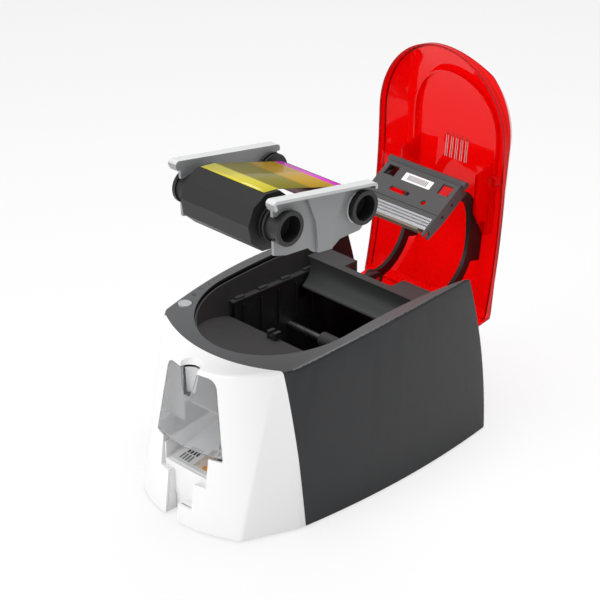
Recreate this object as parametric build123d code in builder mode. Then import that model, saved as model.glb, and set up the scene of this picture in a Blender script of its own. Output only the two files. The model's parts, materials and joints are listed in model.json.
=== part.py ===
from build123d import *
from math import sin, cos, radians, hypot
import os

os.makedirs("parts", exist_ok=True)

# ---------------------------------------------------------------- driving dimensions, mm
# +X right, +Y to the rear, +Z up; the origin is on the table below the middle of the casing.

# casing
FRONT_Y = -192.0            # middle of the front face at the table
REAR_Y = 190.0              # middle of the rear face at the table
WAIST = 106.0               # half the width at the widest place
DECK_Z = 197.8              # height of the deck above the origin
SHELL_WALL = 2.6
SEAM_GAP = 0.3              # joint line between mouldings
FOOT_PROUD = 2.5            # the casing's lower edge above the table
FRONT_LEAN = 0.125          # mm back per mm up of the front face
SEAM_FOOT_Y = -104.0        # white front meets dark casing, at the table
SEAM_LEAN = 0.112           # forward lean of that seam per mm of height
DECK_EDGE_R = 188.0         # plan radius of the deck's front edge
DECK_EDGE_Y = -145.0        # middle of the deck's front edge
DECK_SKIRT = 16.0           # depth of the deck's edge where it stands behind the front
TOP_ROUND = 4.0

# arched opening in the deck
ARCH_HALF = 91.0            # half width
ARCH_NOSE = 94.0            # length of the rounded nose
ARCH_Y = -38.0              # where the nose starts
LINER_STEP = 2.5            # the liner stands in from the opening by this
LINER_WALL = 2.2
LINER_DROP = 34.0           # depth of the liner's wall below the deck
LEDGE_X = ARCH_HALF - 9.0   # inner edge of the liner's side ledges

# lid
LID_PIVOT_Y = 139.0
LID_PIVOT_Z = 153.0
LID_OPEN = 96.0             # degrees from closed to the stop
LID_GAP = 0.8               # clearance to the opening's edge
LID_WALL = 2.2
LID_DIP = 3.2               # depth of the lid's rim below the deck's surface
LID_RISE = 26.0             # height of the dome over the deck
LID_REAR_Y = 154.0
LID_ROUND = 5.0
LID_LEAN_Z = DECK_Z + 2.5   # the lid's sides lean in from here up
LID_LEAN = 0.73            # mm in per mm up
LID_LEAN_HEIGHT = 34.0
VENT_COUNT = 5
VENT_PITCH = 7.0
VENT_LENGTH = 30.0
VENT_WIDTH = 1.8

# lid arms and print head
HEAD_HALF = 52.0
ARM_X = HEAD_HALF - 6.5     # middle of each arm
ARM_THICK = 5.0
ARM_DEPTH = 11.0
EYE_R = 8.0
PIN_R = 3.0
PIN_FIT = 0.05              # radial running clearance of every pin and shaft
HEAD_PLATE = 2.5
HEAD_LENGTH = 50.0
HEAD_CHEEK = 15.0

# ribbon cassette, in its own frame: u to the rear, v up, hubs at u = -HUB_U and HUB_U
HUB_U = 49.0
CASSETTE_PITCH = 5.5        # degrees, rear end lower
SEAT_Y = 10.0
SEAT_Z = 178.4
FLOAT_X = 84.8              # where the photograph shows it, lifted out
FLOAT_Y = -131.1
FLOAT_Z = 372.1
BARREL_HALF = 46.0
PLATE_X = BARREL_HALF + 14.5    # inner face of each side plate
PLATE_THICK = 3.0
BAR_FLANGE = 11.0           # width of the plate's top bar
HUB_R = 15.0
RING_R = 18.0
HUB_END_X = PLATE_X + 10.9
HUB_BORE = 12.5
BARREL_R = 29.0
RIBBON_HALF = BARREL_HALF - 8.0
SUPPLY_ROLL_R = 20.0
TAKEUP_ROLL_R = 12.5
CORE_R = 8.5
SADDLE_GAP = 0.35

# card path
CARD_W = 54.0
CARD_L = 85.6
CARD_T = 0.8
CARD_Z = 120.0              # card path above the table
PLATEN_Y = 52.0
PLATEN_R = 8.5
FEED_Y = -44.0
SHAFT_R = 4.0
FRAME_X = LEDGE_X + 1.5     # inner face of each side frame
FRAME_THICK = 2.5

# front window and output
WINDOW_TOP_Z = 169.0
WINDOW_FOOT_Z = 86.0
WINDOW_TOP_HALF = 35.0
WINDOW_FOOT_HALF = 49.0
COVER_GAP = 0.9
COVER_WALL = 2.2
COVER_PIVOT_Y = -163.2
COVER_PIVOT_Z = 99.0
COVER_SWING = 2.8           # slack in the front below the cover's foot, for its swing
COVER_PIN_R = 1.8
COVER_EAR_R = 3.0
COVER_EAR_X = 43.0          # inner face of each of the cover's ears
COVER_EAR_THICK = 2.2
COVER_LUG_X = 48.2          # inner face of each lug on the front
COVER_LUG_RUN = 20.0
OUTPUT_HALF = 34.0
OUTPUT_FLOOR_Z = 57.0
OUTPUT_SILL = 6.0           # the front's sill below the chute's lip
NOTCH_HALF = 19.0
NOTCH_STEP_Z = 22.0

# power button on the left of the deck
BUTTON_X = -86.0
BUTTON_Y = -98.0
BUTTON_R = 7.4

# sockets low on the rear
SOCKET_Z = 30.0
POWER_X = -40.0
POWER_W = 14.0
POWER_H = 12.0
USB_X = -12.0
USB_W = 12.0
USB_H = 11.0
SOCKET_DEEP = 14.0
SOCKET_FIT = 0.3

hinge_axis = Axis((0, LID_PIVOT_Y, LID_PIVOT_Z), (1, 0, 0))
keep = []


def keep_part(name, builder):
    """Label a finished piece and write its file."""
    builder.part.label = name
    keep.append(name)
    export_step(builder.part, f"parts/{name}.step")


# ---------------------------------------------------------------- casing envelope
def deck_height(y):
    """Height of the crowned deck along the casing."""
    t = y / 100
    return DECK_Z + 6.5 * t - 4.6 * t**2 - 0.6 * t**3


# height, front, crease in and back, shoulder in and back, rear corner in and forward, rear
CASING_SECTIONS = (
    (0, 0, 31, 20, 7, 80, 14, 7, 0),
    (110, 13.5, 26, 31.5, 7.5, 64.5, 14.5, 6, -12),
    (200, 25, 21, 41, 11, 50, 15.5, 6, -35),
)


def casing_section(z, lean, crease_in, crease_back, shoulder_in, shoulder_back,
                   corner_in, corner_fwd, rear_back, inset):
    """One plan outline of the casing, with rounded creases."""
    front = FRONT_Y + lean
    rear = REAR_Y + rear_back
    crease = (WAIST - crease_in, front + crease_back)
    shoulder = (WAIST - shoulder_in, front + shoulder_back)
    corner = (WAIST - corner_in, rear - corner_fwd)
    with BuildSketch(Plane.XY.offset(z)) as plan:
        with BuildLine():
            ThreePointArc((-crease[0], crease[1]), (0, front), crease)
            Line(crease, shoulder)
            ThreePointArc(shoulder, (WAIST, 0), corner)
            ThreePointArc(corner, (0, rear), (-corner[0], corner[1]))
            ThreePointArc((-corner[0], corner[1]), (-WAIST, 0), (-shoulder[0], shoulder[1]))
            Line((-shoulder[0], shoulder[1]), (-crease[0], crease[1]))
        make_face()
        fillet(plan.vertices().group_by(Axis.Y)[0], 9)
        fillet([v for v in plan.vertices() if abs(v.Y - shoulder[1]) < 0.01], 6)
        fillet([v for v in plan.vertices() if abs(v.Y - corner[1]) < 0.01], 9)
        if inset:
            offset(amount=-inset, kind=Kind.INTERSECTION, mode=Mode.REPLACE)
    return plan.sketch.faces()[0]


def casing_shape(inset, lower=0.0):
    """The casing's outer form, or the same form drawn in by a wall."""
    with BuildPart() as form:
        loft(sections=[casing_section(*row, inset) for row in CASING_SECTIONS])
        with BuildSketch(Plane.YZ):
            with BuildLine():
                Polyline((FRONT_Y - 40, 0), (FRONT_Y - 40, deck_height(DECK_EDGE_Y) - 24 - inset),
                         (DECK_EDGE_Y, deck_height(DECK_EDGE_Y) - inset))
                Spline([(y, deck_height(y) - inset) for y in (DECK_EDGE_Y, -80, 0, 70, 150, 200)])
                Polyline((200, deck_height(200) - inset), (200, 0), (FRONT_Y - 40, 0))
            make_face()
        extrude(amount=WAIST + 20, both=True, mode=Mode.INTERSECT)
    return form.part


def rounded_casing():
    """The outer form with its upper edge rounded and its foot cut level."""
    with BuildPart() as form:
        add(casing_shape(0))
        rim = [e for e in form.edges() if e.center().Z > 160
               and not (e.geom_type == GeomType.LINE and abs(e.center().Y - DECK_EDGE_Y) < 1)]
        fillet(rim, TOP_ROUND)
        split(bisect_by=Plane.XY.offset(FOOT_PROUD), keep=Keep.TOP)
    return form.part


outer = rounded_casing()
inner = casing_shape(SHELL_WALL)


def seam_zone(side, gap):
    """Everything in front of (side -1) or behind (side 1) the seam on the casing's sides."""
    low, high = -5.0, 240.0
    far = side * 320.0
    foot = SEAM_FOOT_Y + side * gap
    with BuildPart() as zone:
        with BuildSketch(Plane.YZ):
            with BuildLine():
                Polyline((foot - SEAM_LEAN * low, low), (foot - SEAM_LEAN * high, high),
                         (far, high), (far, low), close=True)
            make_face()
        extrude(amount=WAIST + 20, both=True)
    return zone.part


def deck_zone(gap):
    """The deck's own plan: all that lies behind its round front edge, above its skirt."""
    with BuildPart() as zone:
        with Locations((0, DECK_EDGE_Y + DECK_EDGE_R, DECK_Z - DECK_SKIRT - 14 - gap)):
            Cylinder(DECK_EDGE_R + gap, 60, align=(Align.CENTER, Align.CENTER, Align.MIN))
    return zone.part


def arch_sketch(z, grow, rear=REAR_Y + 60):
    """Plan of the arched opening, larger or smaller all round."""
    half = ARCH_HALF + grow
    with BuildSketch(Plane.XY.offset(z)) as arch:
        with BuildLine():
            EllipticalCenterArc((0, ARCH_Y), half, ARCH_NOSE + grow, start_angle=180, arc_size=180)
            Polyline((half, ARCH_Y), (half, rear), (-half, rear), (-half, ARCH_Y))
        make_face()
    return arch.sketch


def window_sketch(grow):
    """Front window seen from the front: narrow rounded top, wide foot."""
    foot, top = WINDOW_FOOT_HALF + grow, WINDOW_TOP_HALF + grow
    low, high = WINDOW_FOOT_Z - grow, WINDOW_TOP_Z + grow
    with BuildSketch(Plane.XZ.offset(-FRONT_Y - 60)) as window:
        with BuildLine():
            Polyline((-foot, low), (-top, high), (top, high), (foot, low), close=True)
        make_face()
        fillet(window.vertices().group_by(Axis.Y)[-1], 12)
    return window.sketch


def thumb_cone(grow):
    """Scoop at the window's top, where a thumb pulls the cover."""
    with BuildPart() as cone:
        with BuildSketch(Plane.XY.offset(WINDOW_TOP_Z - 28)):
            Circle(6 + grow)
        with BuildSketch(Plane.XY.offset(WINDOW_TOP_Z + 9 + grow)):
            Circle(14 + grow)
        loft()
    return cone.part.moved(Location((0, FRONT_Y + FRONT_LEAN * WINDOW_TOP_Z + 1, 0)))


# ---------------------------------------------------------------- casing mouldings
with BuildPart() as cover_lugs:
    # lugs behind the front that hold the window cover's pivot pins
    with BuildSketch(Plane.YZ.offset(COVER_LUG_X)):
        with Locations((COVER_PIVOT_Y + COVER_EAR_R + 1, COVER_PIVOT_Z)):
            Rectangle(COVER_LUG_RUN, 2 * COVER_EAR_R + 2, align=(Align.MAX, Align.CENTER))
        with Locations((COVER_PIVOT_Y, COVER_PIVOT_Z)):
            Circle(COVER_PIN_R + PIN_FIT, mode=Mode.SUBTRACT)
    extrude(amount=COVER_EAR_THICK)
    mirror(about=Plane.YZ)
    add(casing_shape(SHELL_WALL / 2), mode=Mode.INTERSECT)

with BuildPart() as front_cover:
    add(outer)
    add(inner, mode=Mode.SUBTRACT)
    add(seam_zone(-1, SEAM_GAP / 2), mode=Mode.INTERSECT)
    add(deck_zone(SEAM_GAP), mode=Mode.SUBTRACT)
    extrude(window_sketch(0), amount=80, mode=Mode.SUBTRACT)
    with Locations((0, FRONT_Y, WINDOW_FOOT_Z + 1)):
        Box(2 * WINDOW_FOOT_HALF, 80, COVER_SWING + 1, align=(Align.CENTER, Align.CENTER, Align.MAX),
            mode=Mode.SUBTRACT)
    add(thumb_cone(0), mode=Mode.SUBTRACT)
    with Locations((0, FRONT_Y, OUTPUT_FLOOR_Z - OUTPUT_SILL)):
        Box(2 * OUTPUT_HALF, 80, WINDOW_FOOT_Z + 1 - OUTPUT_FLOOR_Z + OUTPUT_SILL,
            align=(Align.CENTER, Align.CENTER, Align.MIN), mode=Mode.SUBTRACT)
    with Locations((0, FRONT_Y, NOTCH_STEP_Z)):
        Box(2 * NOTCH_HALF, 80, OUTPUT_FLOOR_Z - NOTCH_STEP_Z,
            align=(Align.CENTER, Align.CENTER, Align.MIN), mode=Mode.SUBTRACT)
    with Locations((-NOTCH_HALF, FRONT_Y, 0)):
        Box(NOTCH_HALF, 80, NOTCH_STEP_Z, align=(Align.MIN, Align.CENTER, Align.MIN),
            mode=Mode.SUBTRACT)
    add(cover_lugs.part)
keep_part("front_cover", front_cover)

NOTCH_Y = 118.0             # front of the rear notch, where the lid's tail swings down
NOTCH_Z = 117.0
with BuildPart() as main_casing:
    add(outer)
    add(inner, mode=Mode.SUBTRACT)
    add(seam_zone(-1, -SEAM_GAP / 2).cut(deck_zone(0)), mode=Mode.SUBTRACT)
    extrude(arch_sketch(DECK_Z - 40, 0), amount=60, mode=Mode.SUBTRACT)
    with Locations((0, NOTCH_Y, NOTCH_Z)):
        Box(2 * ARCH_HALF, 200, 200, align=(Align.CENTER, Align.MIN, Align.MIN), mode=Mode.SUBTRACT)
    with Locations((BUTTON_X, BUTTON_Y, DECK_Z)):
        Cylinder(BUTTON_R + 0.4, 60, mode=Mode.SUBTRACT)
    with Locations((POWER_X, REAR_Y, SOCKET_Z)):
        Box(POWER_W, 60, POWER_H, mode=Mode.SUBTRACT)
    with Locations((USB_X, REAR_Y, SOCKET_Z)):
        Box(USB_W, 60, USB_H, mode=Mode.SUBTRACT)
keep_part("main_casing", main_casing)


# ---------------------------------------------------------------- base
TRAY_FIT = 0.3
TRAY_THICK = 2.5
with BuildPart() as base_tray:
    add(casing_shape(SHELL_WALL + TRAY_FIT))
    split(bisect_by=Plane.XY.offset(FOOT_PROUD + TRAY_THICK), keep=Keep.BOTTOM)
    split(bisect_by=Plane.XY.offset(FOOT_PROUD), keep=Keep.TOP)
    with Locations((0, FRONT_Y, 0)):
        Box(2 * NOTCH_HALF + 4, 50, 20, mode=Mode.SUBTRACT)
keep_part("base_tray", base_tray)

FOOT_R = 9.0
FOOT_IN = 32.0              # from the casing's widest place to the middle of a foot
FOOT_FRONT_IN = 74.0
FOOT_REAR_IN = 40.0
foot_places = [(x, y) for x in (FOOT_IN - WAIST, WAIST - FOOT_IN)
               for y in (FRONT_Y + FOOT_FRONT_IN, REAR_Y - FOOT_REAR_IN)]
with BuildPart() as rubber_feet:
    with Locations([(x, y, 0) for x, y in foot_places]):
        Cylinder(FOOT_R, FOOT_PROUD, align=(Align.CENTER, Align.CENTER, Align.MIN))
keep_part("rubber_feet", rubber_feet)

# ---------------------------------------------------------------- liner of the bay
LEDGE_Z = 168.0
SHELF_NOSE_Z = 176.0
SHELF_EDGE_Y = -34.0
SHELF_EDGE_Z = 150.0
SHELF_THICK = 2.0
SENSOR_X = -14.0
SENSOR_Y = SHELF_EDGE_Y - 0.6
SENSOR_W = 13.0
SENSOR_D = 9.0
SENSOR_TOP_Z = 161.0
SHELF_SLOPE = (SHELF_NOSE_Z + 1.6 - SHELF_EDGE_Z) / (SHELF_EDGE_Y - ARCH_Y + ARCH_NOSE + 6)
SENSOR_FOOT_Z = SHELF_EDGE_Z + 0.3 + SHELF_SLOPE * (SENSOR_D + 0.6)
LINER_FOOT_Z = DECK_Z - LINER_DROP - 14
liner_in = -LINER_STEP
liner_out = -LINER_STEP + LINER_WALL


def liner_band(low, grow):
    """Solid arch of the liner's plan up to just under the deck."""
    with BuildPart() as band:
        extrude(arch_sketch(low, grow, NOTCH_Y), amount=80)
        add(casing_shape(SHELL_WALL + LID_DIP - 1), mode=Mode.INTERSECT)
    return band.part


with BuildPart() as bay_liner:
    add(liner_band(LINER_FOOT_Z, liner_out))
    extrude(arch_sketch(0, liner_in), amount=240, mode=Mode.SUBTRACT)
    # level ledges along both sides
    with BuildSketch(Plane.XY.offset(LEDGE_Z - SHELF_THICK)) as ledges:
        add(arch_sketch(0, liner_in, NOTCH_Y))
        with Locations((0, NOTCH_Y)):
            Rectangle(2 * LEDGE_X, 2 * (NOTCH_Y - SHELF_EDGE_Y), mode=Mode.SUBTRACT)
        with Locations((0, SHELF_EDGE_Y - 200)):
            Rectangle(400, 400, mode=Mode.SUBTRACT)
    extrude(amount=SHELF_THICK)
    # sloping front shelf with a lip down at its rear edge
    with BuildSketch(Plane.YZ) as shelf:
        with BuildLine():
            Polyline((ARCH_Y - ARCH_NOSE - 6, SHELF_NOSE_Z + 1.6), (SHELF_EDGE_Y, SHELF_EDGE_Z),
                     (SHELF_EDGE_Y, SHELF_EDGE_Z - 12), (SHELF_EDGE_Y - SHELF_THICK, SHELF_EDGE_Z - 12),
                     (SHELF_EDGE_Y - SHELF_THICK, SHELF_EDGE_Z - SHELF_THICK),
                     (ARCH_Y - ARCH_NOSE - 6, SHELF_NOSE_Z + 1.6 - SHELF_THICK), close=True)
        make_face()
    shelf_solid = extrude(amount=200, both=True, mode=Mode.PRIVATE)
    add(shelf_solid.intersect(extrude(arch_sketch(0, liner_in), amount=240, mode=Mode.PRIVATE)))
    split(bisect_by=Plane.XY.offset(SHELF_EDGE_Z - 12), keep=Keep.TOP)
keep_part("bay_liner", bay_liner)

# ---------------------------------------------------------------- chassis
FRAME_FRONT_Y = -62.0
FRAME_REAR_Y = 106.0
FRAME_TOP_Z = LEDGE_Z - SHELF_THICK
FRAME_FOOT_Z = FOOT_PROUD + TRAY_THICK
SPOOL_HOLE_R = 10.0
REAR_HUB_Y = SEAT_Y + HUB_U * cos(radians(CASSETTE_PITCH))
REAR_HUB_Z = SEAT_Z - HUB_U * sin(radians(CASSETTE_PITCH))
FRONT_HUB_Y = SEAT_Y - HUB_U * cos(radians(CASSETTE_PITCH))
FRONT_HUB_Z = SEAT_Z + HUB_U * sin(radians(CASSETTE_PITCH))
PLATEN_Z = CARD_Z - PLATEN_R - 0.3
shaft_places = ((PLATEN_Y, PLATEN_Z), (FEED_Y, PLATEN_Z))


def side_frame(side):
    """Upright plate beside the bay, with bearing holes for the two shafts."""
    with BuildPart() as frame:
        with BuildSketch(Plane.YZ.offset(side * FRAME_X)):
            with BuildLine():
                Polyline((FRAME_FRONT_Y, FRAME_FOOT_Z), (FRAME_FRONT_Y, PLATEN_Z + 12),
                         (SHELF_EDGE_Y + 4, SHELF_EDGE_Z - 14), (SHELF_EDGE_Y + 4, FRAME_TOP_Z),
                         (FRAME_REAR_Y, FRAME_TOP_Z), (FRAME_REAR_Y, FRAME_FOOT_Z), close=True)
            make_face()
            with Locations(shaft_places):
                Circle(SHAFT_R + PIN_FIT, mode=Mode.SUBTRACT)
            with Locations((PLATEN_Y + 22, FRAME_TOP_Z - 20)):
                Circle(SPOOL_HOLE_R, mode=Mode.SUBTRACT)
        extrude(amount=side * FRAME_THICK)
    return frame


frame_left = side_frame(-1)
keep_part("frame_left", frame_left)
frame_right = side_frame(1)
keep_part("frame_right", frame_right)

CRADLE_R = 22.0
CRADLE_FRONT_Y = 76.0
CRADLE_TOP_Z = 187.0
CRADLE_FOOT_Z = 152.0
POST_X = ARM_X - 7.5        # middle of each hinge post
POST_THICK = 7.0
with BuildPart() as rear_cradle:
    with BuildSketch(Plane.YZ):
        with BuildLine():
            Polyline((CRADLE_FRONT_Y - 8, CRADLE_FOOT_Z), (CRADLE_FRONT_Y, CRADLE_TOP_Z),
                     (FRAME_REAR_Y, CRADLE_TOP_Z), (FRAME_REAR_Y, CRADLE_FOOT_Z), close=True)
        make_face()
        with Locations((REAR_HUB_Y, REAR_HUB_Z)):
            Circle(CRADLE_R, mode=Mode.SUBTRACT)
    extrude(amount=LEDGE_X - 0.6, both=True)
    with BuildSketch(Plane.YZ) as post:
        with BuildLine():
            Polyline((FRAME_REAR_Y, CRADLE_FOOT_Z), (FRAME_REAR_Y, CRADLE_FOOT_Z + 12),
                     (LID_PIVOT_Y, LID_PIVOT_Z + EYE_R), (LID_PIVOT_Y, LID_PIVOT_Z - EYE_R - 6),
                     (FRAME_REAR_Y, CRADLE_FOOT_Z - 20), close=True)
        make_face()
        with Locations((LID_PIVOT_Y, LID_PIVOT_Z)):
            Circle(EYE_R)
    extrude(amount=POST_X + POST_THICK / 2, both=True)
    with Locations((0, LID_PIVOT_Y - 20, LID_PIVOT_Z)):
        Box(2 * POST_X - POST_THICK, 66, 80, mode=Mode.SUBTRACT)
    with Locations((0, LID_PIVOT_Y, LID_PIVOT_Z)):
        Cylinder(PIN_R + PIN_FIT, 4 * POST_X, rotation=(0, 90, 0), mode=Mode.SUBTRACT)
keep_part("rear_cradle", rear_cradle)

# ---------------------------------------------------------------- rollers
ROLLER_HALF = 33.0


def roller_pair(name, y, radius):
    """A shaft across the two side frames and the rubber roller on its middle."""
    with BuildPart() as shaft:
        with Locations((0, y, PLATEN_Z)):
            Cylinder(SHAFT_R, 2 * (FRAME_X + FRAME_THICK + 3), rotation=(0, 90, 0))
        chamfer(shaft.edges().group_by(Axis.X)[0] + shaft.edges().group_by(Axis.X)[-1], 0.6)
    keep_part(name + "_shaft", shaft)
    with BuildPart() as roller:
        with Locations((0, y, PLATEN_Z)):
            Cylinder(radius, 2 * ROLLER_HALF, rotation=(0, 90, 0))
            Cylinder(SHAFT_R, 2 * ROLLER_HALF, rotation=(0, 90, 0), mode=Mode.SUBTRACT)
    keep_part(name + "_roller", roller)


roller_pair("platen", PLATEN_Y, PLATEN_R)
roller_pair("feed", FEED_Y, PLATEN_R)

# ---------------------------------------------------------------- card hopper, output, card
HOPPER_HALF = CARD_W / 2 + 1.0
HOPPER_WALL = 1.8
HOPPER_FRONT_Y = -153.0
HOPPER_REAR_Y = -64.0
HOPPER_FIT = 0.3
HOPPER_TOP_Z = LINER_FOOT_Z - HOPPER_FIT
HOPPER_FACE_TOP_Z = 163.0
with BuildPart() as card_hopper:
    with Locations((0, (HOPPER_FRONT_Y + HOPPER_REAR_Y) / 2, CARD_Z - 3 - HOPPER_WALL)):
        Box(2 * (HOPPER_HALF + HOPPER_WALL), HOPPER_REAR_Y - HOPPER_FRONT_Y,
            HOPPER_TOP_Z - CARD_Z + 3 + HOPPER_WALL, align=(Align.CENTER, Align.CENTER, Align.MIN))
    with Locations((0, HOPPER_FRONT_Y, CARD_Z - 3)):
        Box(2 * HOPPER_HALF, 2 * (HOPPER_REAR_Y - HOPPER_FRONT_Y - HOPPER_WALL), 100,
            align=(Align.CENTER, Align.CENTER, Align.MIN), mode=Mode.SUBTRACT)
    with Locations((0, HOPPER_REAR_Y, CARD_Z - 3)):
        Box(CARD_W + 1, 10, 4, align=(Align.CENTER, Align.CENTER, Align.MIN), mode=Mode.SUBTRACT)
    # window back walls, seen through the smoked cover
    with Locations((0, HOPPER_FRONT_Y + HOPPER_WALL / 2, (WINDOW_FOOT_Z + HOPPER_FACE_TOP_Z) / 2 + 4)):
        Box(2 * WINDOW_FOOT_HALF + 6, HOPPER_WALL, HOPPER_FACE_TOP_Z - WINDOW_FOOT_Z - 8)
        Box(2 * HOPPER_HALF, 10, 200, mode=Mode.SUBTRACT)
keep_part("card_hopper", card_hopper)

CHUTE_REAR_Y = -70.0
CHUTE_REAR_Z = 85.0
CHUTE_FRONT_Y = -176.0
CHUTE_WALL = 2.0
CHUTE_TOP_Z = WINDOW_FOOT_Z - 13
CHUTE_SLOPE = (CHUTE_REAR_Z - OUTPUT_FLOOR_Z) / (CHUTE_REAR_Y - CHUTE_FRONT_Y)
with BuildPart() as output_chute:
    with BuildSketch(Plane.YZ):
        with BuildLine():
            Polyline((CHUTE_FRONT_Y, NOTCH_STEP_Z), (CHUTE_FRONT_Y, OUTPUT_FLOOR_Z),
                     (CHUTE_REAR_Y, CHUTE_REAR_Z), (CHUTE_REAR_Y, CHUTE_REAR_Z - CHUTE_WALL),
                     (CHUTE_FRONT_Y + CHUTE_WALL, OUTPUT_FLOOR_Z - CHUTE_WALL),
                     (CHUTE_FRONT_Y + CHUTE_WALL, NOTCH_STEP_Z), close=True)
        make_face()
    extrude(amount=OUTPUT_HALF - 0.4, both=True)
    with BuildSketch(Plane.YZ.offset(OUTPUT_HALF - 0.4 - CHUTE_WALL)) as cheek:
        with BuildLine():
            Polyline((CHUTE_FRONT_Y, NOTCH_STEP_Z), (CHUTE_FRONT_Y, CHUTE_TOP_Z + 3),
                     (CHUTE_REAR_Y, CHUTE_REAR_Z + 10), (CHUTE_REAR_Y, CHUTE_REAR_Z - CHUTE_WALL),
                     (CHUTE_FRONT_Y + 30, NOTCH_STEP_Z), close=True)
        make_face()
    extrude(amount=CHUTE_WALL)
    mirror(about=Plane.YZ)
keep_part("output_chute", output_chute)

card_plane = Plane(origin=(0, CHUTE_FRONT_Y + 3, OUTPUT_FLOOR_Z + 3 * CHUTE_SLOPE + 0.3),
                   x_dir=(1, 0, 0), z_dir=(0, -CHUTE_SLOPE, 1))
with BuildPart() as printed_card:
    with BuildSketch(card_plane):
        with Locations((0, CARD_L / 2)):
            RectangleRounded(CARD_W, CARD_L, 3.2)
    extrude(amount=CARD_T)
keep_part("printed_card", printed_card)

# ---------------------------------------------------------------- smoked cover of the hopper
with BuildPart() as cover_ears:
    # an ear inside each lower corner, round about the pivot
    with BuildSketch(Plane.YZ.offset(COVER_EAR_X)):
        with Locations((COVER_PIVOT_Y, COVER_PIVOT_Z)):
            Circle(COVER_EAR_R)
            Rectangle(COVER_LUG_RUN, 2 * COVER_EAR_R, align=(Align.MAX, Align.CENTER))
    extrude(amount=COVER_EAR_THICK)
    mirror(about=Plane.YZ)
    add(casing_shape(COVER_WALL / 2), mode=Mode.INTERSECT)

with BuildPart() as scoop_wall:
    add(thumb_cone(COVER_WALL))
    add(casing_shape(COVER_WALL - 0.1), mode=Mode.INTERSECT)
    extrude(window_sketch(-COVER_GAP - 1), amount=80, mode=Mode.INTERSECT)

with BuildPart() as hopper_cover:
    add(outer)
    add(casing_shape(COVER_WALL), mode=Mode.SUBTRACT)
    extrude(window_sketch(-COVER_GAP), amount=80, mode=Mode.INTERSECT)
    add(scoop_wall.part)
    add(thumb_cone(0), mode=Mode.SUBTRACT)
    add(cover_ears.part)
    with BuildSketch(Plane.YZ.offset(COVER_EAR_X + 0.1)):
        with Locations((COVER_PIVOT_Y, COVER_PIVOT_Z)):
            Circle(COVER_PIN_R)
    pin = extrude(amount=COVER_LUG_X + COVER_EAR_THICK - COVER_EAR_X)
    mirror(pin, about=Plane.YZ)
keep_part("hopper_cover", hopper_cover)

# ---------------------------------------------------------------- power button
BUTTON_PROUD = 1.2
with BuildPart() as power_button:
    with Locations((BUTTON_X, BUTTON_Y, deck_height(BUTTON_Y) - 4)):
        Cylinder(BUTTON_R, 4 + BUTTON_PROUD, align=(Align.CENTER, Align.CENTER, Align.MIN))
    fillet(power_button.edges().group_by(Axis.Z)[-1], 1.0)
keep_part("power_button", power_button)


# ---------------------------------------------------------------- lid, drawn closed and swung open
def dome(inset):
    """Everything between the rim along the deck and the dome's side profile."""
    def top(y, rise):
        return (y, deck_height(y) + rise * LID_RISE - inset)
    nose = ARCH_Y - ARCH_NOSE
    tail = LID_REAR_Y + 6
    with BuildPart() as form:
        with BuildSketch(Plane.YZ):
            with BuildLine():
                Spline([top(nose - 6, 0.05), top(nose + 14, 0.40), top(nose + 38, 0.79),
                        top(nose + 66, 1.0), top(-20, 1.06), top(40, 1.04), top(110, 1.0),
                        top(tail, 0.72)])
                Line(top(tail, 0.72), (tail, deck_height(tail) - LID_DIP))
                Spline([(y, deck_height(y) - LID_DIP) for y in (tail, 80, 0, -80, nose - 6)])
                Line((nose - 6, deck_height(nose - 6) - LID_DIP), top(nose - 6, 0.05))
            make_face()
        extrude(amount=ARCH_HALF + 10, both=True)
    return form.part


def lid_solid(inset):
    """The lid's closed form: upright at the rim, then leaning in to the dome."""
    reach = LID_LEAN_HEIGHT * LID_LEAN
    rear = LID_REAR_Y - inset
    grow = -LID_GAP - inset
    with BuildPart() as form:
        extrude(arch_sketch(0, grow, rear), amount=LID_LEAN_Z)
        loft(sections=[arch_sketch(LID_LEAN_Z, grow, rear).faces()[0],
                       arch_sketch(LID_LEAN_Z + LID_LEAN_HEIGHT, grow - reach, rear).faces()[0]])
        add(dome(inset), mode=Mode.INTERSECT)
    return form.part


with BuildPart() as lid_closed:
    add(lid_solid(0))
    rim = lid_closed.edges().filter_by(lambda e: e.center().Z > LID_LEAN_Z + 4)
    fillet(rim, LID_ROUND)
    with BuildPart(mode=Mode.PRIVATE) as lid_hollow:
        add(lid_solid(LID_WALL))
    add(lid_hollow.part, mode=Mode.SUBTRACT)


def swung_open(closed):
    """The same piece with the lid against its stop."""
    return closed.rotate(hinge_axis, -LID_OPEN)


RIB_INSET = 31.5            # from the arch's edge to the stiffening rib under the dome
RIB_THICK = 2.2
RIB_DEPTH = 6.0
RIB_REAR_Y = 70.0
with BuildPart() as lid_rib:
    extrude(arch_sketch(0, -RIB_INSET, RIB_REAR_Y), amount=300)
    extrude(arch_sketch(0, -RIB_INSET - RIB_THICK, RIB_REAR_Y + 1), amount=300, mode=Mode.SUBTRACT)
    add(dome(LID_WALL - 0.2), mode=Mode.INTERSECT)
    add(dome(LID_WALL).moved(Location((0, 0, -RIB_DEPTH))), mode=Mode.SUBTRACT)

# head values, with the lid closed
HEAD_TOP = (7.0, 174.0)     # front upper edge of the head plate
HEAD_TIP = (50.0, CARD_Z + CARD_T + 0.6)
head_run = (HEAD_TIP[0] - HEAD_TOP[0], HEAD_TIP[1] - HEAD_TOP[1])
HEAD_SPAN = hypot(*head_run)
head_plane = Plane(origin=(0, *HEAD_TOP), x_dir=(0, head_run[0], head_run[1]), z_dir=(-1, 0, 0))
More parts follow.
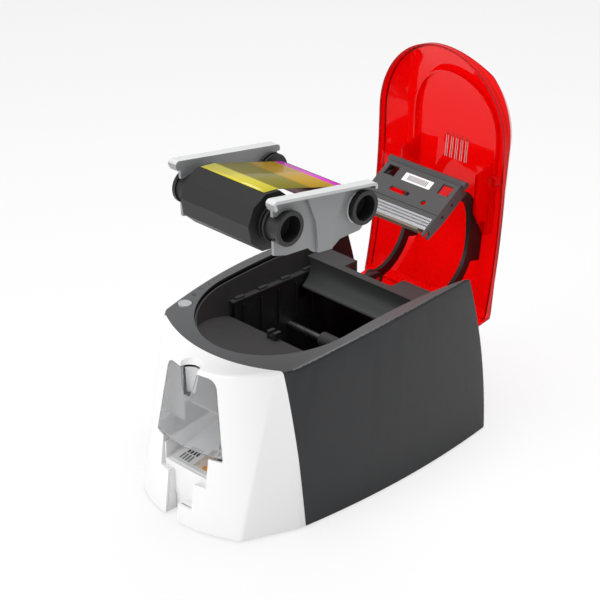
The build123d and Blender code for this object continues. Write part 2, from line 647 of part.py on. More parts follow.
# on this plane x runs down the plate to the tip, y out of its face, z across the printer
HEAD_ROD = (-2.5, -3.5)
HEAD_ROD_R = 4.0
head_rod = head_plane.from_local_coords((*HEAD_ROD, 0))
BRACKET_GAP = 0.5
BRACKET_THICK = 3.0
BRACKET_FRONT_Y = -16.0
BRACKET_REAR_Y = 72.0
with BuildPart() as head_bracket:
    # two cheeks hang from the dome and hold the ends of the head's rod
    with BuildSketch(Plane.YZ.offset(HEAD_HALF + BRACKET_GAP)):
        with BuildLine():
            ThreePointArc((BRACKET_FRONT_Y, DECK_Z + LID_RISE), (head_rod.Y - 11, head_rod.Z + 24),
                          (head_rod.Y - 4, head_rod.Z))
            Polyline((head_rod.Y - 4, head_rod.Z), (head_rod.Y + 5, head_rod.Z - 3),
                     (BRACKET_REAR_Y, DECK_Z + LID_RISE - 6), (BRACKET_REAR_Y, DECK_Z + LID_RISE),
                     (BRACKET_FRONT_Y, DECK_Z + LID_RISE))
        make_face()
        with Locations((head_rod.Y, head_rod.Z)):
            Circle(HEAD_ROD_R + 2.4)
            Circle(HEAD_ROD_R + PIN_FIT, mode=Mode.SUBTRACT)
    extrude(amount=BRACKET_THICK)
    mirror(about=Plane.YZ)
    add(dome(LID_WALL - 0.2), mode=Mode.INTERSECT)

VENT_FRONT_Y = -12.0
TAIL_MIDDLE = (160.5, 174.0)
TAIL_END = (169.5, 141.0)
TAIL_HALF = ARCH_HALF - LID_GAP - 0.8
with BuildPart() as lid_shell:
    add(lid_closed.part)
    # tail that carries on down the rear face and closes the notch there
    with BuildSketch(Plane.YZ):
        with BuildLine():
            tail_line = Spline((LID_REAR_Y - LID_WALL / 2, deck_height(LID_REAR_Y) + 6), TAIL_MIDDLE,
                               TAIL_END)
        trace(tail_line, LID_WALL)
    extrude(amount=TAIL_HALF, both=True)
    add(lid_rib.part)
    add(head_bracket.part)
    with BuildSketch(Plane.XY.offset(DECK_Z)):
        with Locations((0, VENT_FRONT_Y)):
            with GridLocations(VENT_PITCH, 1, VENT_COUNT, 1):
                SlotOverall(VENT_LENGTH, VENT_WIDTH, rotation=90)
    extrude(amount=60, mode=Mode.SUBTRACT)
lid_shell.part = swung_open(lid_shell.part)
keep_part("lid_shell", lid_shell)

# ---------------------------------------------------------------- lid arms and hinge pins
CEILING_GAP = 0.3


def ceiling(y):
    """Underside of the closed lid's dome on its flat rear part."""
    return deck_height(y) + LID_RISE - LID_WALL


HEAD_PIVOT = (16.0, -HEAD_PLATE - ARM_DEPTH / 2 - 0.3)
HEAD_PIVOT_R = 2.2
arm_tip = head_plane.from_local_coords((*HEAD_PIVOT, 0))


def lid_arm(side):
    """Goose-neck from the hinge eye, along under the lid, down to the head carrier."""
    with BuildPart() as arm:
        with BuildSketch(Plane.YZ.offset(side * ARM_X)):
            with BuildLine():
                path = Spline((LID_PIVOT_Y, LID_PIVOT_Z), (LID_PIVOT_Y - 12, LID_PIVOT_Z + 32),
                              (100, 203), (62, 205), (arm_tip.Y + 6, arm_tip.Z + 28),
                              (arm_tip.Y, arm_tip.Z))
            trace(path, ARM_DEPTH)
            with Locations((arm_tip.Y, arm_tip.Z)):
                Circle(ARM_DEPTH / 2)
                Circle(HEAD_PIVOT_R + PIN_FIT, mode=Mode.SUBTRACT)
            with Locations((LID_PIVOT_Y, LID_PIVOT_Z)):
                Circle(EYE_R)
            with BuildLine():
                Polyline((102, 200), (104, ceiling(104) - CEILING_GAP),
                         (60, ceiling(60) - CEILING_GAP), (60, 204), close=True)
            make_face()
            with Locations((LID_PIVOT_Y, LID_PIVOT_Z)):
                Circle(PIN_R + PIN_FIT, mode=Mode.SUBTRACT)
        extrude(amount=ARM_THICK / 2, both=True)
    arm.part = swung_open(arm.part)
    return arm


lid_arm_left = lid_arm(-1)
keep_part("lid_arm_left", lid_arm_left)
lid_arm_right = lid_arm(1)
keep_part("lid_arm_right", lid_arm_right)

PIN_HEAD_R = 4.6
with BuildPart() as hinge_pins:
    with Locations((ARM_X + ARM_THICK / 2 + 0.6, LID_PIVOT_Y, LID_PIVOT_Z)):
        Cylinder(PIN_R, ARM_X + ARM_THICK / 2 + 0.6 - POST_X + POST_THICK / 2, rotation=(0, 90, 0),
                 align=(Align.CENTER, Align.CENTER, Align.MAX))
        Cylinder(PIN_HEAD_R, 1.6, rotation=(0, 90, 0), align=(Align.CENTER, Align.CENTER, Align.MIN))
    mirror(about=Plane.YZ)
keep_part("hinge_pins", hinge_pins)

# ---------------------------------------------------------------- print head, drawn closed
with BuildPart() as head_carrier:
    with BuildSketch(head_plane):
        with Locations((HEAD_LENGTH / 2, 0)):
            Rectangle(HEAD_LENGTH, HEAD_PLATE, align=(Align.CENTER, Align.MAX))
    extrude(amount=HEAD_HALF, both=True)
    with BuildSketch(head_plane.offset(HEAD_HALF)):
        with BuildLine():
            Polyline((0, 0), (HEAD_SPAN + 4, 0), (HEAD_SPAN + 4, -3), (HEAD_SPAN - 5, -4.5),
                     (HEAD_SPAN - 5, -8), (HEAD_SPAN + 1, -9), (HEAD_SPAN + 1, -12.5),
                     (HEAD_LENGTH - 6, -HEAD_CHEEK), (0, -HEAD_CHEEK), close=True)
        make_face()
        with Locations((HEAD_LENGTH * 0.45, -8), (HEAD_LENGTH * 0.8, -8)):
            Circle(1.8, mode=Mode.SUBTRACT)
    extrude(amount=-HEAD_PLATE)
    # pivot pins that pass through the arms' tips
    with BuildSketch(head_plane.offset(HEAD_HALF - HEAD_PLATE)):
        with Locations(HEAD_PIVOT):
            Circle(HEAD_PIVOT_R)
    extrude(amount=-(HEAD_HALF - HEAD_PLATE - ARM_X + ARM_THICK / 2 + 1))
    mirror(about=Plane.YZ)
    # rod along the plate's upper edge
    with BuildSketch(head_plane):
        with Locations(HEAD_ROD):
            Circle(HEAD_ROD_R)
    extrude(amount=HEAD_HALF + BRACKET_GAP + BRACKET_THICK, both=True)
    # windows in the plate
    front_of_plate = Plane(origin=head_plane.origin, x_dir=(1, 0, 0), z_dir=head_plane.y_dir)
    with BuildSketch(front_of_plate):
        with Locations((13 - HEAD_HALF, -13), (HEAD_HALF - 13, -13)):
            Rectangle(15, 13)
        with Locations((-12, -33)):
            SlotOverall(28, 6)
        with Locations((25, -36)):
            Circle(3.2)
    extrude(amount=-HEAD_PLATE - 1, both=True, mode=Mode.SUBTRACT)
head_carrier.part = swung_open(head_carrier.part)
keep_part("head_carrier", head_carrier)

HEATSINK_HALF = HEAD_HALF - HEAD_PLATE - 0.3
with BuildPart() as head_heatsink:
    with BuildSketch(head_plane):
        with Locations((HEAD_LENGTH + 0.3, 0)):
            Rectangle(HEAD_SPAN - HEAD_LENGTH - 3, 7, align=(Align.MIN, Align.MAX))
        with Locations([(HEAD_LENGTH + 2.6 + 3.6 * i, 0) for i in range(3)]):
            Rectangle(1.6, 3.5, align=(Align.MIN, Align.MAX), mode=Mode.SUBTRACT)
    extrude(amount=HEATSINK_HALF, both=True)
head_heatsink.part = swung_open(head_heatsink.part)
keep_part("head_heatsink", head_heatsink)

with BuildPart() as thermal_head:
    with BuildSketch(head_plane):
        with Locations((HEAD_SPAN - 2.4, 0)):
            Rectangle(2.4, 7, align=(Align.MIN, Align.MAX))
    extrude(amount=HEATSINK_HALF - 8, both=True)
thermal_head.part = swung_open(thermal_head.part)
keep_part("thermal_head", thermal_head)


# ---------------------------------------------------------------- ribbon cassette, drawn level
BAR_FRONT = (-71.0, 29.0)
BAR_REAR = (61.0, 21.5)
BAR_THICK = 3.0
LIP_V = -26.0               # top of the plate's lower lip
WEDGE_RISE = 3.5


def lifted_out(level):
    """The same piece pitched and carried to where it hangs over the printer."""
    return level.rotate(Axis.X, -CASSETTE_PITCH).moved(Location((FLOAT_X, FLOAT_Y, FLOAT_Z)))


with BuildPart() as level_plate:
    # web between two open saddles, with lips below them
    with BuildSketch(Plane.YZ.offset(PLATE_X)):
        with BuildLine():
            Polyline(BAR_FRONT, (-66, 20), (-60, LIP_V), (-44, LIP_V - 3), (-16, LIP_V - 2),
                     (-8, LIP_V - 8), (18, LIP_V - 8), (26, LIP_V - 2), (52, LIP_V + 1),
                     (58, LIP_V + 7), (66, LIP_V + 14), (60, 16), BAR_REAR, close=True)
        make_face()
        with Locations((-HUB_U, 0), (HUB_U, 0)):
            Circle(HUB_R + SADDLE_GAP, mode=Mode.SUBTRACT)
        with Locations((-HUB_U - 20, 0), (HUB_U + 20, 0)):
            Rectangle(40, 2 * HUB_R - 6, mode=Mode.SUBTRACT)
    extrude(amount=PLATE_THICK)
    # flange along the top, hooked down at both ends
    with BuildSketch(Plane.YZ.offset(PLATE_X)):
        with BuildLine():
            bar = FilletPolyline((BAR_FRONT[0] + 3, BAR_FRONT[1] - 8), (BAR_FRONT[0] - 2, BAR_FRONT[1]),
                                 (BAR_REAR[0] + 1, BAR_REAR[1]), (BAR_REAR[0] + 1, BAR_REAR[1] - 5),
                                 radius=2.5)
        trace(bar, BAR_THICK)
    extrude(amount=BAR_FLANGE)
    # raised wedge in the middle of the outer face
    with BuildSketch(Plane.YZ.offset(PLATE_X + PLATE_THICK)):
        with BuildLine():
            Polyline((-26, 24.5), (26, 21.5), (17, -2), (13, LIP_V - 8), (-5, LIP_V - 8), (-12, -2),
                     close=True)
        make_face()
    extrude(amount=WEDGE_RISE)

with BuildPart() as cassette_plate_right:
    add(lifted_out(level_plate.part))
keep_part("cassette_plate_right", cassette_plate_right)

with BuildPart() as cassette_plate_left:
    add(lifted_out(level_plate.part.mirror(Plane.YZ)))
keep_part("cassette_plate_left", cassette_plate_left)

BARREL_SIDES = 10
BARREL_WALL = 2.0
BARREL_FIT = 0.4
with BuildPart() as supply_barrel:
    with BuildSketch(Plane.YZ):
        with Locations((-HUB_U, 0)):
            RegularPolygon(BARREL_R, BARREL_SIDES)
    extrude(amount=BARREL_HALF, both=True)
    with BuildSketch(Plane.YZ):
        with Locations((-HUB_U, 0)):
            RegularPolygon(BARREL_R - BARREL_WALL, BARREL_SIDES)
    extrude(amount=BARREL_HALF - BARREL_WALL, both=True, mode=Mode.SUBTRACT)
    with Locations((0, -HUB_U, 0)):
        Cylinder(CORE_R + BARREL_FIT, 4 * BARREL_HALF, rotation=(0, 90, 0), mode=Mode.SUBTRACT)
    with Locations((0, -HUB_U + 14, BARREL_R)):
        Box(2 * (RIBBON_HALF + 1.5), 16, 30, mode=Mode.SUBTRACT)
    # pocket over the bay's ribbon sensor, long enough for the way in
    with Locations((SENSOR_X - 2.5, -HUB_U + 3, -BARREL_R - 1)):
        Box(SENSOR_W + 8, 2 * SENSOR_D + 4, BARREL_R - SUPPLY_ROLL_R,
            align=(Align.CENTER, Align.CENTER, Align.MIN), mode=Mode.SUBTRACT)
supply_barrel.part = lifted_out(supply_barrel.part)
keep_part("supply_barrel", supply_barrel)


def spool(u, inner_x):
    """Core with two flanged, hollow hub ends that stand out through the side plates."""
    with BuildPart() as reel:
        with Locations((0, u, 0)):
            Cylinder(CORE_R, 2 * inner_x, rotation=(0, 90, 0))
        for side in (-1, 1):
            with BuildSketch(Plane.YZ.offset(side * inner_x)):
                with Locations((u, 0)):
                    Circle(HUB_R)
            extrude(amount=side * (HUB_END_X - inner_x))
            for start, width, radius in ((inner_x, 1.6, RING_R), (inner_x + 4.6, 2.2, RING_R),
                                         (HUB_END_X - 4.0, 4.0, RING_R - 1)):
                with BuildSketch(Plane.YZ.offset(side * start)):
                    with Locations((u, 0)):
                        Circle(radius)
                extrude(amount=side * width)
            with BuildSketch(Plane.YZ.offset(side * HUB_END_X)):
                with Locations((u, 0)):
                    Circle(HUB_BORE)
            extrude(amount=-side * 15, mode=Mode.SUBTRACT)
    return reel


supply_spool = spool(-HUB_U, BARREL_HALF + 1.5)
supply_spool.part = lifted_out(supply_spool.part)
keep_part("supply_spool", supply_spool)
takeup_spool = spool(HUB_U, BARREL_HALF + 5.5)
takeup_spool.part = lifted_out(takeup_spool.part)
keep_part("takeup_spool", takeup_spool)


def ribbon_roll(u, radius):
    """Ribbon wound on a core."""
    with BuildPart() as roll:
        with Locations((0, u, 0)):
            Cylinder(radius, 2 * RIBBON_HALF, rotation=(0, 90, 0))
            Cylinder(CORE_R, 2 * RIBBON_HALF, rotation=(0, 90, 0), mode=Mode.SUBTRACT)
    return roll


supply_roll = ribbon_roll(-HUB_U, SUPPLY_ROLL_R)
supply_roll.part = lifted_out(supply_roll.part)
keep_part("supply_roll", supply_roll)
takeup_roll = ribbon_roll(HUB_U, TAKEUP_ROLL_R)
takeup_roll.part = lifted_out(takeup_roll.part)
keep_part("takeup_roll", takeup_roll)

FILM_THICK = 0.5
FILM_GAP = 0.3
with BuildPart() as ribbon_film:
    with BuildSketch(Plane.YZ):
        with BuildLine():
            film_path = Polyline((-HUB_U + 7, SUPPLY_ROLL_R + 1.5), (-HUB_U + 14, BARREL_R + 0.6),
                                 (HUB_U, TAKEUP_ROLL_R + FILM_GAP + FILM_THICK / 2))
        trace(film_path, FILM_THICK)
    extrude(amount=RIBBON_HALF, both=True)
ribbon_film.part = lifted_out(ribbon_film.part)
keep_part("ribbon_film", ribbon_film)

# ---------------------------------------------------------------- small fittings
with BuildPart() as ribbon_sensor:
    # stands on the shelf's rear edge, with a forked top
    with Locations((SENSOR_X, SENSOR_Y, SENSOR_FOOT_Z)):
        Box(SENSOR_W, SENSOR_D, SENSOR_TOP_Z - SENSOR_FOOT_Z, align=(Align.CENTER, Align.MAX, Align.MIN))
    with Locations((SENSOR_X, SENSOR_Y, SENSOR_TOP_Z - 4)):
        Box(4, 4 * SENSOR_D, 8, align=(Align.CENTER, Align.CENTER, Align.MIN), mode=Mode.SUBTRACT)
keep_part("ribbon_sensor", ribbon_sensor)

SOCKET_REAR_Y = REAR_Y - 2.0
with BuildPart() as power_socket:
    with Locations((POWER_X, SOCKET_REAR_Y, SOCKET_Z)):
        Box(POWER_W - 2 * SOCKET_FIT, SOCKET_DEEP, POWER_H - 2 * SOCKET_FIT,
            align=(Align.CENTER, Align.MAX, Align.CENTER))
        Cylinder(3.2, SOCKET_DEEP, rotation=(90, 0, 0), mode=Mode.SUBTRACT)
    with Locations((POWER_X, SOCKET_REAR_Y - SOCKET_DEEP / 2 - 2, SOCKET_Z)):
        Cylinder(1.0, SOCKET_DEEP / 2 + 3, rotation=(90, 0, 0))
keep_part("power_socket", power_socket)

with BuildPart() as usb_socket:
    with Locations((USB_X, SOCKET_REAR_Y, SOCKET_Z)):
        Box(USB_W - 2 * SOCKET_FIT, SOCKET_DEEP, USB_H - 2 * SOCKET_FIT,
            align=(Align.CENTER, Align.MAX, Align.CENTER))
        Box(8.4, 2 * SOCKET_DEEP - 4, 7.8, mode=Mode.SUBTRACT)
    with Locations((USB_X, SOCKET_REAR_Y - SOCKET_DEEP + 1, SOCKET_Z + 1.2)):
        Box(5.6, SOCKET_DEEP - 4, 2.8, align=(Align.CENTER, Align.MIN, Align.CENTER))
keep_part("usb_socket", usb_socket)
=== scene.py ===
import json
from math import cos, hypot, pi, radians, sin

import bmesh
import bpy
from mathutils import Matrix, Vector


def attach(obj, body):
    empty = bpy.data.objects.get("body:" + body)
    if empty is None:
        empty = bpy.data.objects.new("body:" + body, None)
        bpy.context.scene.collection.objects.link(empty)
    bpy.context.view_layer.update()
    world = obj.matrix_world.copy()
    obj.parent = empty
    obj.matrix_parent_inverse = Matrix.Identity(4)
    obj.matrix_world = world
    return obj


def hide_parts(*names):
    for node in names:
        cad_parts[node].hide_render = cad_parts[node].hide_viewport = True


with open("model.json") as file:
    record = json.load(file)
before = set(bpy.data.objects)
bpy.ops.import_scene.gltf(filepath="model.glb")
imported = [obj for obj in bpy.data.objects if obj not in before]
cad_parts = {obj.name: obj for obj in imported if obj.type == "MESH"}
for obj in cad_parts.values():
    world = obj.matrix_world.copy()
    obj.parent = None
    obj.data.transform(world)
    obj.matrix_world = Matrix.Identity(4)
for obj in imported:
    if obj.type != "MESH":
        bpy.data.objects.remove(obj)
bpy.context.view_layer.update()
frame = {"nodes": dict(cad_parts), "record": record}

# ------------------------------------------------------------------ camera
# A long lens looks down on the printer's front right corner. Its place and angles are those
# from which the casing's corners fall where the photograph has them.
CAMERA_PLACE = (1.410, -1.398, 1.170)
CAMERA_AZIMUTH = radians(45.551)
CAMERA_ELEVATION = radians(26.314)
CAMERA_LENS, CAMERA_SENSOR, CAMERA_REACH = 127.56, 36, 20

camera = bpy.data.objects.new("camera", bpy.data.cameras.new("camera"))
bpy.context.scene.collection.objects.link(camera)
camera.location = CAMERA_PLACE
camera.rotation_euler = (pi / 2 - CAMERA_ELEVATION, 0, CAMERA_AZIMUTH)
camera.data.lens = CAMERA_LENS
camera.data.sensor_width = CAMERA_SENSOR
camera.data.clip_end = CAMERA_REACH
bpy.context.scene.camera = camera
bpy.context.scene.view_settings.view_transform = "Standard"


# ------------------------------------------------------------------ studio
# A large soft box hangs overhead, a second one lights the front and a small one the right side.
# The room and the paper under the printer look white and light the printer less than they show.
LAMP_AIM = Vector((0, 0, 0.1))


def soft_box(name, place, size, watts):
    """A round soft lamp that faces the printer."""
    lamp = bpy.data.lights.new(name, "AREA")
    lamp.shape = "DISK"
    lamp.size = size
    lamp.energy = watts
    box = bpy.data.objects.new(name, lamp)
    bpy.context.scene.collection.objects.link(box)
    box.location = place
    box.rotation_euler = (LAMP_AIM - Vector(place)).to_track_quat("-Z", "Y").to_euler()


soft_box("overhead_box", (0.1, 0.1, 2.0), 1.5, 32)
soft_box("front_box", (-0.4, -2.4, 1.0), 1.3, 27)
soft_box("right_box", (2.2, -0.9, 0.8), 1.0, 4)


def seen_directly(nodes, links):
    """1 for what the camera sees, straight or through clear plastic, and 0 for the rest."""
    path = nodes.new("ShaderNodeLightPath")
    either = nodes.new("ShaderNodeMath")
    either.operation = "MAXIMUM"
    links.new(path.outputs["Is Camera Ray"], either.inputs[0])
    links.new(path.outputs["Is Transmission Ray"], either.inputs[1])
    return either.outputs[0]


ROOM_LEVEL = 0.42
room = bpy.data.worlds.new("room")
bpy.context.scene.world = room
room.use_nodes = True
room_nodes, room_links = room.node_tree.nodes, room.node_tree.links
room_nodes["Background"].inputs["Color"].default_value = (1, 1, 1, 1)
level = room_nodes.new("ShaderNodeMapRange")
level.inputs["To Min"].default_value = ROOM_LEVEL
level.inputs["To Max"].default_value = 1
room_links.new(seen_directly(room_nodes, room_links), level.inputs["Value"])
room_links.new(level.outputs["Result"], room_nodes["Background"].inputs["Strength"])

FLOOR_HALF = 6
floor_mesh = bpy.data.meshes.new("floor")
floor_mesh.from_pydata([(-FLOOR_HALF, -FLOOR_HALF, 0), (FLOOR_HALF, -FLOOR_HALF, 0),
                        (FLOOR_HALF, FLOOR_HALF, 0), (-FLOOR_HALF, FLOOR_HALF, 0)],
                       [], [(0, 1, 2, 3)])
floor = bpy.data.objects.new("floor", floor_mesh)
bpy.context.scene.collection.objects.link(floor)
PAPER_COLOUR, PAPER_ROUGHNESS, PAPER_GLOW = (0.85, 0.85, 0.85, 1), 0.9, 0.72
floor_paper = bpy.data.materials.new("floor_paper")
floor_paper.use_nodes = True
paper_nodes, paper_links = floor_paper.node_tree.nodes, floor_paper.node_tree.links
paper = paper_nodes["Principled BSDF"]
paper.inputs["Base Color"].default_value = PAPER_COLOUR
paper.inputs["Roughness"].default_value = PAPER_ROUGHNESS
paper_share = paper_nodes.new("ShaderNodeMath")
paper_share.operation = "MULTIPLY"
paper_share.inputs[1].default_value = PAPER_GLOW
paper_links.new(seen_directly(paper_nodes, paper_links), paper_share.inputs[0])
paper_mix = paper_nodes.new("ShaderNodeMixShader")
paper_links.new(paper_share.outputs[0], paper_mix.inputs[0])
paper_links.new(paper.outputs[0], paper_mix.inputs[1])
paper_links.new(paper_nodes.new("ShaderNodeEmission").outputs[0], paper_mix.inputs[2])
paper_links.new(paper_mix.outputs[0], paper_nodes["Material Output"].inputs["Surface"])
floor_mesh.materials.append(floor_paper)


# ------------------------------------------------------------------ base tray and feet
# The tray closes the casing from below, moulded in the casing's dark plastic. Four black
# rubber feet stand under it.
MM = 0.001
SHADE_PATCH, GLOSS_PATCH = 25 * MM, 6 * MM


def plastic(name, colour, roughness, grain=0.35 * MM, depth=0.02, mottle=0.04, uneven=0.05,
            **sockets):
    """Moulded plastic: a fine texture in the mould, a little uneven in gloss and shade."""
    finish = bpy.data.materials.new(name)
    finish.use_nodes = True
    nodes, links = finish.node_tree.nodes, finish.node_tree.links
    shader = nodes["Principled BSDF"]
    place = nodes.new("ShaderNodeTexCoord").outputs["Object"]

    def noise(size, detail=2.0):
        cloud = nodes.new("ShaderNodeTexNoise")
        cloud.inputs["Scale"].default_value = 1 / size
        cloud.inputs["Detail"].default_value = detail
        links.new(place, cloud.inputs["Vector"])
        return cloud.outputs["Fac"]

    shade = nodes.new("ShaderNodeMixRGB")
    shade.inputs["Color1"].default_value = (*[c * (1 - mottle) for c in colour], 1)
    shade.inputs["Color2"].default_value = (*[min(1, c * (1 + mottle)) for c in colour], 1)
    links.new(noise(SHADE_PATCH, 4), shade.inputs["Fac"])
    links.new(shade.outputs[0], shader.inputs["Base Color"])
    gloss = nodes.new("ShaderNodeMapRange")
    gloss.inputs["To Min"].default_value = max(0, roughness - uneven)
    gloss.inputs["To Max"].default_value = roughness + uneven
    links.new(noise(GLOSS_PATCH, 3), gloss.inputs["Value"])
    links.new(gloss.outputs["Result"], shader.inputs["Roughness"])
    bump = nodes.new("ShaderNodeBump")
    bump.inputs["Strength"].default_value = depth
    bump.inputs["Distance"].default_value = grain
    links.new(noise(grain), bump.inputs["Height"])
    links.new(bump.outputs[0], shader.inputs["Normal"])
    for socket, value in sockets.items():
        shader.inputs[socket.replace("_", " ")].default_value = value
    return finish


casing_dark = plastic("casing_dark", (0.024, 0.025, 0.027), 0.42, depth=0.10,
                      Specular_IOR_Level=0.3)
foot_rubber = plastic("foot_rubber", (0.02, 0.02, 0.02), 0.75, grain=0.6 * MM, depth=0.2)
record = frame["record"]
owner = {node: body for body, nodes in record["behaviour"]["bodies"].items() for node in nodes}
CREASE, WELD, COPLANAR = radians(32), 0.002 * MM, radians(0.4)


def eased(piece, width):
    """Smooth faces that meet at creases, each crease rounded to a width."""
    piece.data.shade_smooth()
    piece.data.set_sharp_from_angle(angle=CREASE)
    if width:
        ease = piece.modifiers.new("eased_edges", "BEVEL")
        ease.width = width
        ease.segments = 2
        ease.limit_method = "ANGLE"
        ease.angle_limit = CREASE
        ease.use_clamp_overlap = True
        ease.harden_normals = True


def dress(node, finish):
    """Gives a CAD node its finish."""
    mesh = frame["nodes"][node].data
    mesh.materials.clear()
    mesh.materials.append(finish)


def rounded_copy(node, finish, edge=0.4 * MM):
    """A node's own form with its edges eased and its curved faces smooth, in its place."""
    mesh = frame["nodes"][node].data.copy()
    build = bmesh.new()
    build.from_mesh(mesh)
    bmesh.ops.remove_doubles(build, verts=build.verts, dist=WELD)
    bmesh.ops.dissolve_limit(build, angle_limit=COPLANAR, verts=build.verts, edges=build.edges)
    build.to_mesh(mesh)
    build.free()
    mesh.name = node + "_moulding"
    mesh.materials.clear()
    mesh.materials.append(finish)
    piece = bpy.data.objects.new(mesh.name, mesh)
    bpy.context.scene.collection.objects.link(piece)
    if "custom_normal" in mesh.attributes:
        mesh.attributes.remove(mesh.attributes["custom_normal"])
    eased(piece, edge)
    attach(piece, owner[node])
    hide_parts(node)
    return piece


rounded_copy("base_tray", casing_dark)
rounded_copy("rubber_feet", foot_rubber)

# ------------------------------------------------------------------ casing
# Two big mouldings meet at a raked seam: the glossy white front and the dark textured body,
# whose crowned deck has the arched opening.
casing_white = plastic("casing_white", (0.88, 0.88, 0.88), 0.30, depth=0.004, mottle=0.004,
                       uneven=0.02, Coat_Weight=0.25, Coat_Roughness=0.12)
rounded_copy("front_cover", casing_white, edge=0.6 * MM)
casing = rounded_copy("main_casing", casing_dark, edge=0.5 * MM)
# Painted sheen: the deck's upward faces get a lighter grey than the sides, though the casing is
# one moulding in one plastic; the lighter tone stands in for the overhead lamp's sheen.
deck_satin = plastic("deck_satin", (0.082, 0.084, 0.087), 0.38, depth=0.05)
DECK_LEVEL, DECK_LOWEST = 0.8, 150 * MM


def second_finish(piece, finish, chosen):
    """Gives the faces that a test picks a finish of their own."""
    piece.data.materials.append(finish)
    for face in piece.data.polygons:
        if chosen(face):
            face.material_index = len(piece.data.materials) - 1


second_finish(casing, deck_satin,
              lambda face: face.normal.z > DECK_LEVEL and face.center.z > DECK_LOWEST)

# ------------------------------------------------------------------ thumb notch and output mouth
# A white pocket behind the stepped notch keeps fingers off the works, and jambs and sills line
# the output mouth above it. They are flat walls clipped behind the front moulding, and the
# jambs' tops stay clear of the smoked cover's foot as it swings.
EASE = 0.2 * MM


def cut_plate(name, outline, low, high, finish, body, place=Matrix(), edge=EASE):
    """A plate with a given outline in mm, between two heights in mm, put where it belongs."""
    build = bmesh.new()
    bottom = [build.verts.new((x * MM, y * MM, low * MM)) for x, y in outline]
    top = [build.verts.new((x * MM, y * MM, high * MM)) for x, y in outline]
    build.faces.new(bottom[::-1])
    build.faces.new(top)
    for i, corner in enumerate(bottom):
        after = (i + 1) % len(bottom)
        build.faces.new((corner, bottom[after], top[after], top[i]))
    bmesh.ops.recalc_face_normals(build, faces=build.faces)
    mesh = bpy.data.meshes.new(name)
    build.to_mesh(mesh)
    build.free()
    return finished(name, mesh, finish, body, place, edge)


def finished(name, mesh, finish, body, place=Matrix(), edge=EASE):
    """Puts a detail's mesh in its place, rounds its edges, and fixes it to a body."""
    mesh.transform(place)
    if finish:
        mesh.materials.clear()
        mesh.materials.append(finish)
    detail = bpy.data.objects.new(name, mesh)
    bpy.context.scene.collection.objects.link(detail)
    eased(detail, edge)
    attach(detail, body)
    return detail


def block(low, high):
    """Outline of a rectangle from two corners."""
    return (low, (high[0], low[1]), high, (low[0], high[1]))


WALL, SEAM, WALL_EASE = 1.2, 0.1, 0.1 * MM
NOTCH_HALF, NOTCH_STEP_Z, NOTCH_TOP_Z, NOTCH_FOOT_Z = 19, 22, 50.0, 3
NOTCH_OUT = NOTCH_HALF + SEAM + WALL
SKIN_FOOT_Y, SKIN_LEAN, POCKET_REAR_Y = -187.4, 0.12, -174.7
POCKET_BACK = block((-174.4, NOTCH_FOOT_Z), (-173.0, NOTCH_STEP_Z))
NOTCH_STEP = block((-184.6, NOTCH_STEP_Z - 1.25), (POCKET_REAR_Y, NOTCH_STEP_Z - 0.05))
JAMB_X, SILL_DROP, SILL_RISE = 34.05, 0.4, 0.6
JAMB = ((-180.0, 50), (-150, 50), (-150, 79.2), (-165, 79.2), (-170, 80.4), (-174, 82.4),
        (-175.9, 83.8))
SILL = ((NOTCH_OUT, -182.6), (JAMB_X, -179.6), (JAMB_X, -174.8), (NOTCH_OUT, -174.8))


def pocket_side(low, high):
    """Outline of a side wall that follows the front's skin."""
    return ((SKIN_FOOT_Y + SKIN_LEAN * low, low), (POCKET_REAR_Y, low), (POCKET_REAR_Y, high),
            (SKIN_FOOT_Y + SKIN_LEAN * high, high))


# Outlines are drawn in depth and height; UPRIGHT turns them so that their thickness runs across.
UPRIGHT = Matrix(((0, 0, 1, 0), (1, 0, 0, 0), (0, 1, 0, 0), (0, 0, 0, 1)))
white_walls = (
    ("notch_back", POCKET_BACK, -NOTCH_HALF - 1, 1),
    ("notch_side_left", pocket_side(NOTCH_FOOT_Z, NOTCH_TOP_Z), -NOTCH_OUT, -NOTCH_HALF - SEAM),
    ("notch_side_right", pocket_side(NOTCH_STEP_Z, NOTCH_TOP_Z), NOTCH_HALF + SEAM, NOTCH_OUT),
    ("notch_side_middle", pocket_side(NOTCH_FOOT_Z, NOTCH_STEP_Z - 1.3), SEAM, SEAM + WALL),
    ("notch_step", NOTCH_STEP, SEAM, NOTCH_HALF + 1),
    ("mouth_jamb_left", JAMB, -JAMB_X - WALL, -JAMB_X),
    ("mouth_jamb_right", JAMB, JAMB_X, JAMB_X + WALL),
)
for name, outline, low, high in white_walls:
    cut_plate(name, outline, low, high, casing_white, "printer", UPRIGHT,
              WALL_EASE)
for side, label in ((-1, "left"), (1, "right")):
    cut_plate("mouth_sill_" + label, [(side * x, y) for x, y in SILL], NOTCH_TOP_Z - SILL_DROP,
              NOTCH_TOP_Z + SILL_RISE, casing_white, "printer", edge=WALL_EASE)

# ------------------------------------------------------------------ thumb scoop
# Above the smoked cover the front moulding carries the scoop on as a white half cone, open at
# the top where it meets the sloping shoulder.
SCOOP_Y, SCOOP_FOOT_Z, SCOOP_HEAD_Z, SCOOP_FOOT_R, SCOOP_HEAD_R = -169.9, 141, 178, 6, 14
SCOOP_SEAM, SCOOP_STEPS, SCOOP_LOW_Z = 0.05, 28, 168.9
SHOULDER_Y, SHOULDER_Z, SHOULDER_SLOPE, SHOULDER_SINK = -232, 156.5, 0.2759, 0.9


